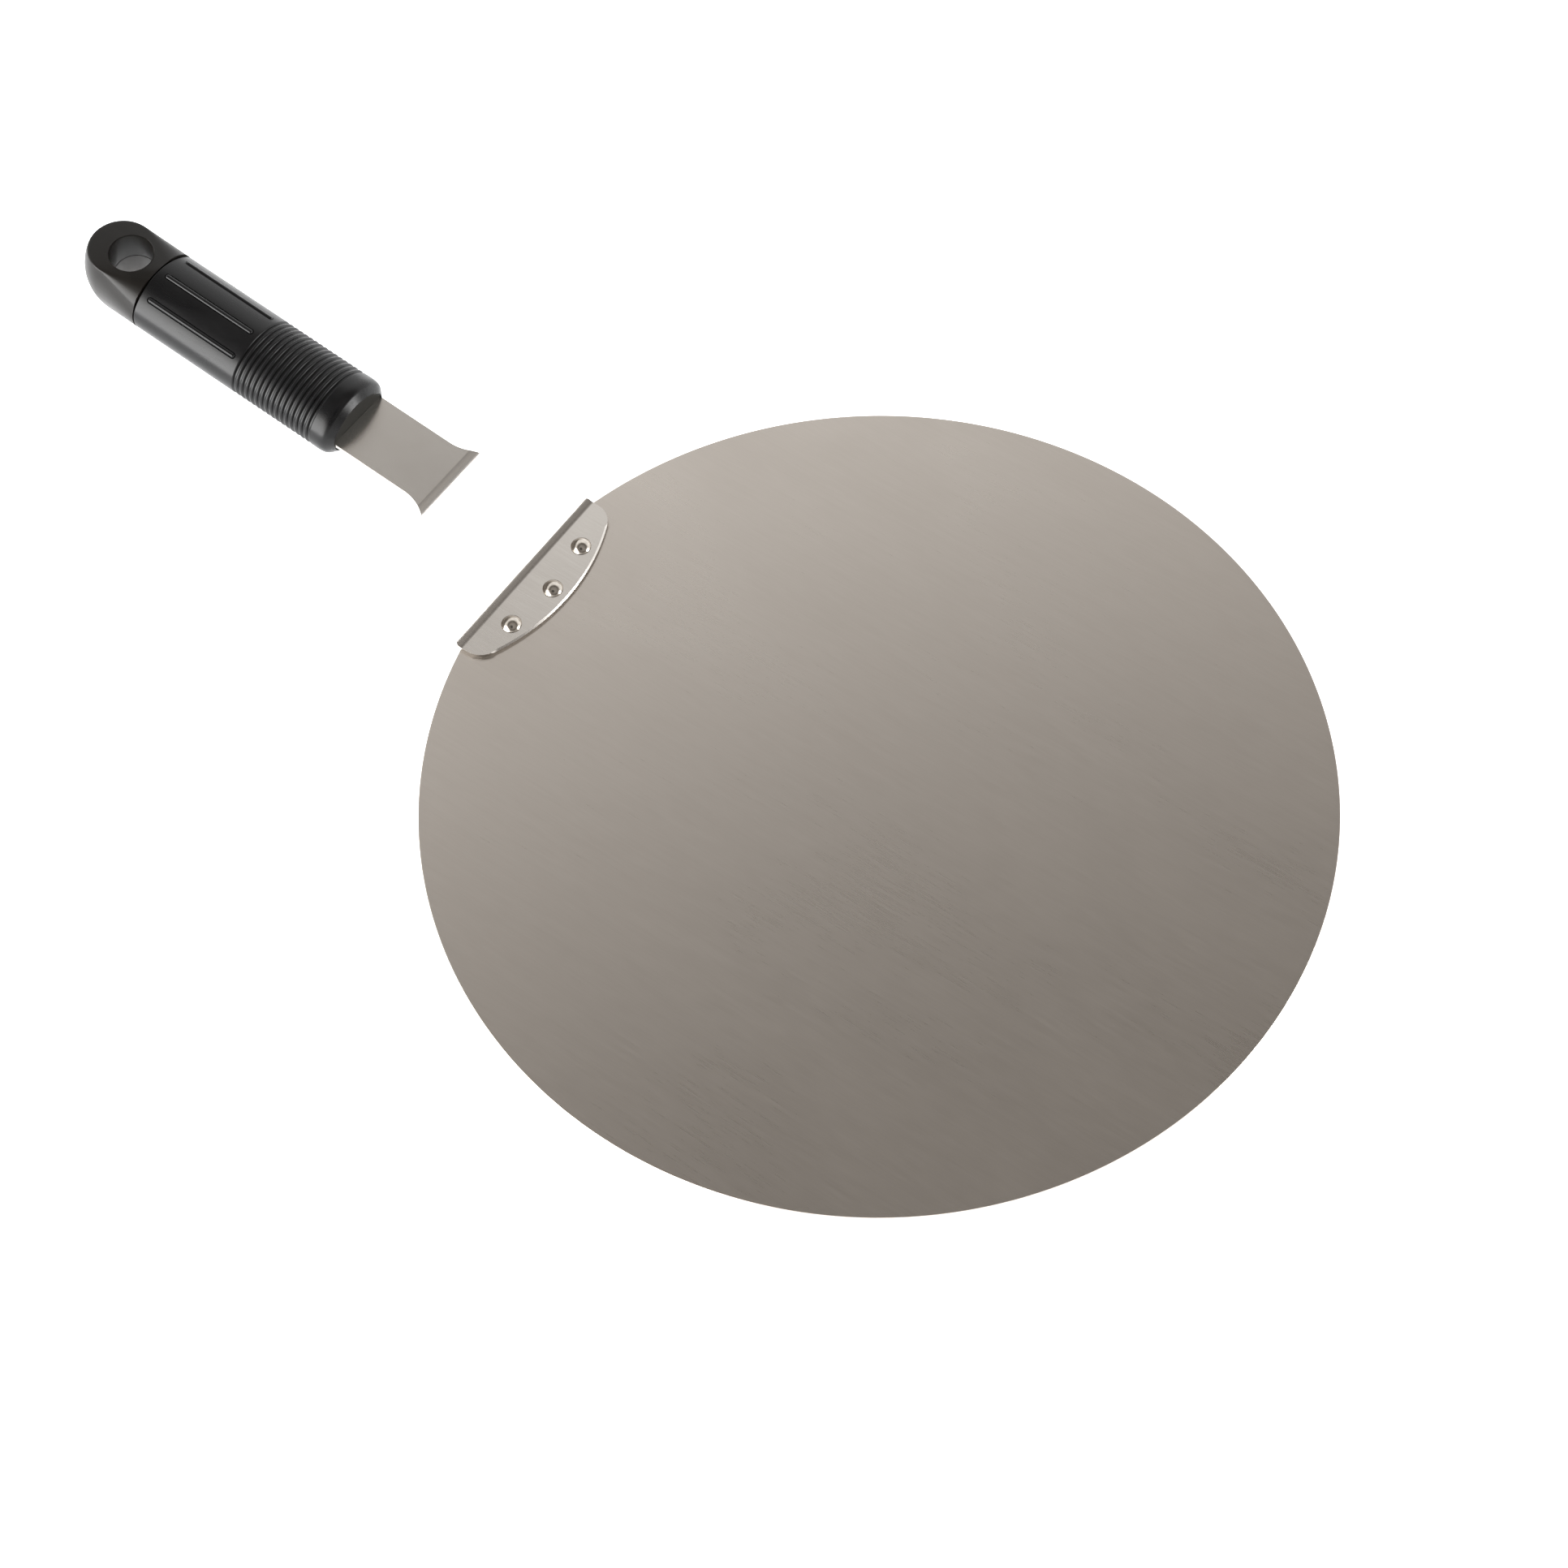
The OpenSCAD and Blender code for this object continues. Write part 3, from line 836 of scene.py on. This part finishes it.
def add_surroundings():
    """A pale room that is bright low down, dimmer overhead, and has one broad window on the -Y side."""
    world = bpy.data.worlds.new("pale_room")
    world.use_nodes = True
    world.node_tree.nodes.clear()
    tree = Link(world.node_tree)
    way = tree.node("TexCoord", {}, {}, "Generated")
    dimness = tree.node("VectorMath", {"operation": "DOT_PRODUCT"}, {0: way, 1: DIM_WAY}, "Value")
    light = tree.node("ValToRGB", {"stops": [
        (0.0, (1.35, 1.35, 1.35)), (0.44, (1.25, 1.25, 1.24)), (0.52, (0.95, 0.935, 0.91)),
        (0.545, (0.84, 0.82, 0.795)), (0.57, (0.70, 0.68, 0.655)), (0.604, (0.47, 0.45, 0.43)),
        (0.633, (0.34, 0.32, 0.30)), (0.66, (0.26, 0.24, 0.22)), (0.70, (0.17, 0.155, 0.14)),
        (0.74, (0.13, 0.118, 0.108)), (0.80, (0.21, 0.197, 0.182)), (0.87, (0.33, 0.31, 0.29)),
        (1.0, (0.45, 0.43, 0.41))]}, {"Fac": dimness})
    facing = tree.node("VectorMath", {"operation": "DOT_PRODUCT"}, {0: way, 1: WATCHER_WAY}, "Value")
    watcher = span(tree, facing, 0.955, 0.985, 1.0, 0.15)
    beside = tree.node("VectorMath", {"operation": "DOT_PRODUCT"}, {0: way, 1: WINDOW_WAY}, "Value")
    window = tree.node("MapRange", {"interpolation_type": "SMOOTHSTEP"}, {
        "Value": beside, "From Min": 0.80, "From Max": 0.95, "To Min": 0.0, "To Max": 6.5})
    room = tree.node("Background", {}, {"Color": light, "Strength": watcher + window})
    tree.node("OutputWorld", {}, {"Surface": room})
    bpy.context.scene.world = world
    bpy.context.scene.view_settings.view_transform = "Standard"


add_camera()
add_floor()
add_surroundings()
add_panel("side_panel", azimuth=113, elevation=15, distance=1.6, size=(0.7, 0.45), power=15)

plate_steel = steel_sheet("plate_brushed_steel", (0.62, 0.575, 0.53), (0.55, 0.505, 0.46), 0.29)
# painted light: the bracket is painted darker at its foot and lighter at its top, where the rise and strip
# stand
bracket_steel = steel_sheet("bracket_brushed_steel", (0.93, 0.90, 0.86), (0.56, 0.525, 0.49), 0.25,
                            (0.28, 1.0), 0.35)
edge_steel = polished_steel("cut_edge_steel", (0.78, 0.74, 0.69), 0.22)
rivet_steel = polished_steel("rivet_bright_steel", (0.64, 0.59, 0.53), 0.17)
grip_plastic = moulded_plastic("grip_black_plastic", (0.0025, 0.0025, 0.003), (0.005, 0.005, 0.0055), 0.27)
cap_plastic = moulded_plastic("cap_black_plastic", (0.006, 0.005, 0.004), (0.010, 0.0085, 0.007), 0.32,
                              0.02 * MM)
# painted light: a paler plastic for the bore's lower half, standing in for the light seen there
painted_light_bore_plastic = moulded_plastic("bore_plastic_painted_light", (0.095, 0.09, 0.085), (0.13, 0.12, 0.115), 0.4)
core_plastic = moulded_plastic("core_matt_plastic", (0.005, 0.005, 0.0035), (0.009, 0.0085, 0.0065), 0.55,
                               0.03 * MM)

make_plate(plate_steel)
make_bracket(bracket_steel, edge_steel)
make_rivets(rivet_steel)
finish_core(core_plastic)
make_grip(grip_plastic)
make_cap(cap_plastic, painted_light_bore_plastic)
